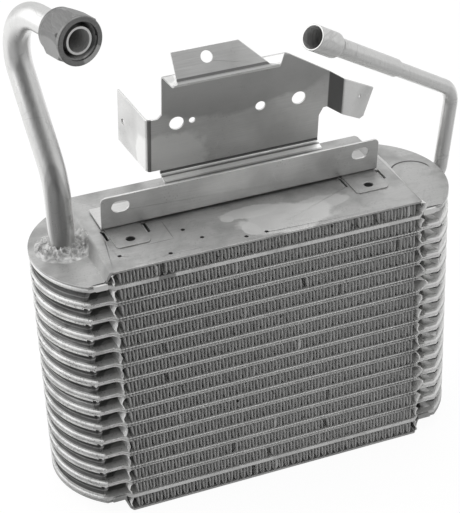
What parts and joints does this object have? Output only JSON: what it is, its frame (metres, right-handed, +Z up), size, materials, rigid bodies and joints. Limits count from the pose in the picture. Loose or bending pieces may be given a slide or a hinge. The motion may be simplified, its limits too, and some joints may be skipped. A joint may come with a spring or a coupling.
{
  "type": "evaporator core",
  "caption": "Plate-and-fin refrigerant evaporator core with round-ended tanks, a hooked suction tube and nut, a liquid line with a socket, a slotted rail and a valve bracket.",
  "frame": {"origin": "middle of the flat underside of the bottom side plate, under the middle of the fin block", "axes": "+X along the tubes and fin rows towards the liquid line, +Y through the fins from the rail's slotted front to the back, +Z up through the stack towards the tubes' fittings"},
  "size_m": [0.3427, 0.1535, 0.3987],
  "materials": {
    "side_plate": "mill-finish sheet, dulled by brazing",
    "tube_plate": "matt brazed plate",
    "fin": "thin matt foil",
    "bracket_sheet": "rolled sheet, lightly scratched",
    "pipe": "drawn tube, satin",
    "nut": "turned, dull",
    "filler": "rough brazing filler"
  },
  "bodies": {
    "root": {"top_side_plate": "side_plate", "bottom_side_plate": "side_plate", "rail_foot_left": "side_plate", "rail_foot_right": "side_plate", "mounting_rail": "bracket_sheet", "valve_bracket": "bracket_sheet", "suction_tube": "pipe", "suction_nut": "nut", "suction_braze": "filler", "liquid_tube": "pipe", "liquid_socket_tube": "pipe", "fin_row_01": "fin", "fin_row_02": "fin", "fin_row_03": "fin", "fin_row_04": "fin", "fin_row_05": "fin", "fin_row_06": "fin", "fin_row_07": "fin", "fin_row_08": "fin", "fin_row_09": "fin", "fin_row_10": "fin", "fin_row_11": "fin", "fin_row_12": "fin", "fin_row_13": "fin", "fin_row_14": "fin", "fin_row_15": "fin", "fin_row_16": "fin", "tube_01": "tube_plate", "tube_02": "tube_plate", "tube_03": "tube_plate", "tube_04": "tube_plate", "tube_05": "tube_plate", "tube_06": "tube_plate", "tube_07": "tube_plate", "tube_08": "tube_plate", "tube_09": "tube_plate", "tube_10": "tube_plate", "tube_11": "tube_plate", "tube_12": "tube_plate", "tube_13": "tube_plate", "tube_14": "tube_plate", "tube_15": "tube_plate"}
  },
  "joints": []
}
